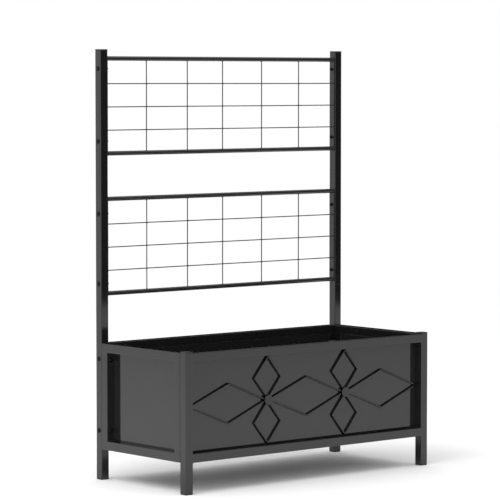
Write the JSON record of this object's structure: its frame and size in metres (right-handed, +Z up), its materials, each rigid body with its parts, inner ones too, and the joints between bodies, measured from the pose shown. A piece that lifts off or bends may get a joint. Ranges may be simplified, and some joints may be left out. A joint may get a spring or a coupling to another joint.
{
  "type": "planter with trellis",
  "caption": "Rectangular sheet-metal planter box in a square-tube frame with a diamond ornament on its front, and welded wire trellis panels bolted between its tall back posts.",
  "frame": {"origin": "on the ground, under the middle of the box and its posts", "axes": "+Z up, the ornamented front faces -Y and the trellis stands at the back, +X runs to the right seen from the front"},
  "size_m": [1.1526, 0.5066, 1.5243],
  "materials": {
    "frame_coat": "glossy charcoal powder coat with a fine orange peel",
    "panel_coat": "glossy charcoal powder coat on flat sheet",
    "trellis_coat": "glossy charcoal powder coat on round tube, strap and wire",
    "black_plastic": "moulded black plastic with a fine grain",
    "bolt_steel": "blackened steel, slightly worn on the heads"
  },
  "bodies": {
    "root": {"left_back_post": "frame_coat", "right_back_post": "frame_coat", "left_front_leg": "frame_coat", "right_front_leg": "frame_coat", "left_front_foot": "black_plastic", "right_front_foot": "black_plastic", "left_back_foot": "black_plastic", "right_back_foot": "black_plastic", "left_post_cap": "black_plastic", "right_post_cap": "black_plastic", "left_leg_cap": "black_plastic", "right_leg_cap": "black_plastic", "front_top_rail": "frame_coat", "front_bottom_rail": "frame_coat", "back_top_rail": "frame_coat", "back_bottom_rail": "frame_coat", "back_frame_left_stile": "frame_coat", "back_frame_right_stile": "frame_coat", "left_end_top_rail": "frame_coat", "left_end_bottom_rail": "frame_coat", "left_end_front_stile": "frame_coat", "left_end_back_stile": "frame_coat", "right_end_top_rail": "frame_coat", "right_end_bottom_rail": "frame_coat", "right_end_front_stile": "frame_coat", "right_end_back_stile": "frame_coat", "front_panel": "panel_coat", "back_panel": "panel_coat", "left_end_panel": "panel_coat", "right_end_panel": "panel_coat", "floor_plate": "panel_coat", "left_floor_bar": "frame_coat", "right_floor_bar": "frame_coat", "upper_trellis_left_strap": "trellis_coat", "upper_trellis_right_strap": "trellis_coat", "upper_trellis_top_rail": "trellis_coat", "upper_trellis_bottom_rail": "trellis_coat", "upper_trellis_wires": "trellis_coat", "lower_trellis_left_strap": "trellis_coat", "lower_trellis_right_strap": "trellis_coat", "lower_trellis_top_rail": "trellis_coat", "lower_trellis_bottom_rail": "trellis_coat", "lower_trellis_wires": "trellis_coat", "upper_trellis_left_bottom_bolt": "bolt_steel", "upper_trellis_left_top_bolt": "bolt_steel", "upper_trellis_right_bottom_bolt": "bolt_steel", "upper_trellis_right_top_bolt": "bolt_steel", "lower_trellis_left_bottom_bolt": "bolt_steel", "lower_trellis_left_top_bolt": "bolt_steel", "lower_trellis_right_bottom_bolt": "bolt_steel", "lower_trellis_right_top_bolt": "bolt_steel", "middle_diamond": "frame_coat", "left_diamond": "frame_coat", "left_upper_diamond": "frame_coat", "left_lower_diamond": "frame_coat", "left_disc": "frame_coat", "right_diamond": "frame_coat", "right_upper_diamond": "frame_coat", "right_lower_diamond": "frame_coat", "right_disc": "frame_coat"}
  },
  "joints": []
}
